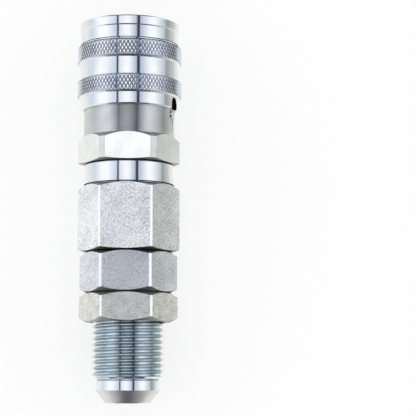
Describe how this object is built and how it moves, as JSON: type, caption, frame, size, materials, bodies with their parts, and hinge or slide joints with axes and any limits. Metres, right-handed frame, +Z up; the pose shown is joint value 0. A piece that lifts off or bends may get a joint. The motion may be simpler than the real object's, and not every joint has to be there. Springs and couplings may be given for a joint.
{
  "type": "flat face hydraulic coupler",
  "caption": "Flat-face quick coupler half with a knurled release sleeve, hexagon bodies, a locknut and a flared bulkhead thread.",
  "frame": {"origin": "under the middle of the coupler, on the surface that it lies on", "axes": "+Y along the coupler's axis towards the socket's mouth, +Z up, +X to the right seen from above"},
  "size_m": [0.0326, 0.1188, 0.0326],
  "materials": {
    "plated_sleeve": "bright zinc-nickel plated, knurled",
    "plated_body": "zinc plated, turned and milled",
    "plated_fitting": "zinc plated, cold-formed hexagon, rolled thread",
    "plated_nut": "zinc plated, lightly scratched",
    "inner_steel": "ground",
    "ball_steel": "polished",
    "spring_steel": "drawn wire",
    "nitrile_rubber": "matte",
    "backup_plastic": "plain"
  },
  "bodies": {
    "body": {"bulkhead_stud": "plated_fitting", "stud_seal": "nitrile_rubber", "rear_body": "plated_body", "spigot_seal": "nitrile_rubber", "spigot_backup_ring": "backup_plastic", "socket_body": "plated_body", "socket_seal": "nitrile_rubber", "socket_backup_ring": "backup_plastic", "stem_carrier": "inner_steel", "stem_nut": "inner_steel", "centre_stem": "inner_steel", "stem_seal": "nitrile_rubber", "valve_spring": "spring_steel", "locking_balls": "ball_steel", "lock_ball": "ball_steel", "sleeve_retaining_ring": "spring_steel", "sleeve_spring": "spring_steel"},
    "sleeve": {"release_sleeve": "plated_sleeve"},
    "valve": {"valve_sleeve": "inner_steel"},
    "nut": {"locknut": "plated_nut"}
  },
  "joints": [
    {"name": "sleeve_slide", "type": "slide", "parent": "body", "child": "sleeve", "axis": [0, 1, 0], "range_m": [-0.0036, 0], "stiffness_N_per_m": 4000, "springref_m": 0.004, "deforming": ["sleeve_spring"]},
    {"name": "valve_slide", "type": "slide", "parent": "body", "child": "valve", "axis": [0, 1, 0], "range_m": [-0.01, 0], "stiffness_N_per_m": 3000, "springref_m": 0.006, "deforming": ["valve_spring"]},
    {"name": "locknut_travel", "type": "slide", "parent": "body", "child": "nut", "axis": [0, 1, 0], "range_m": [-0.0165, 0]}
  ]
}
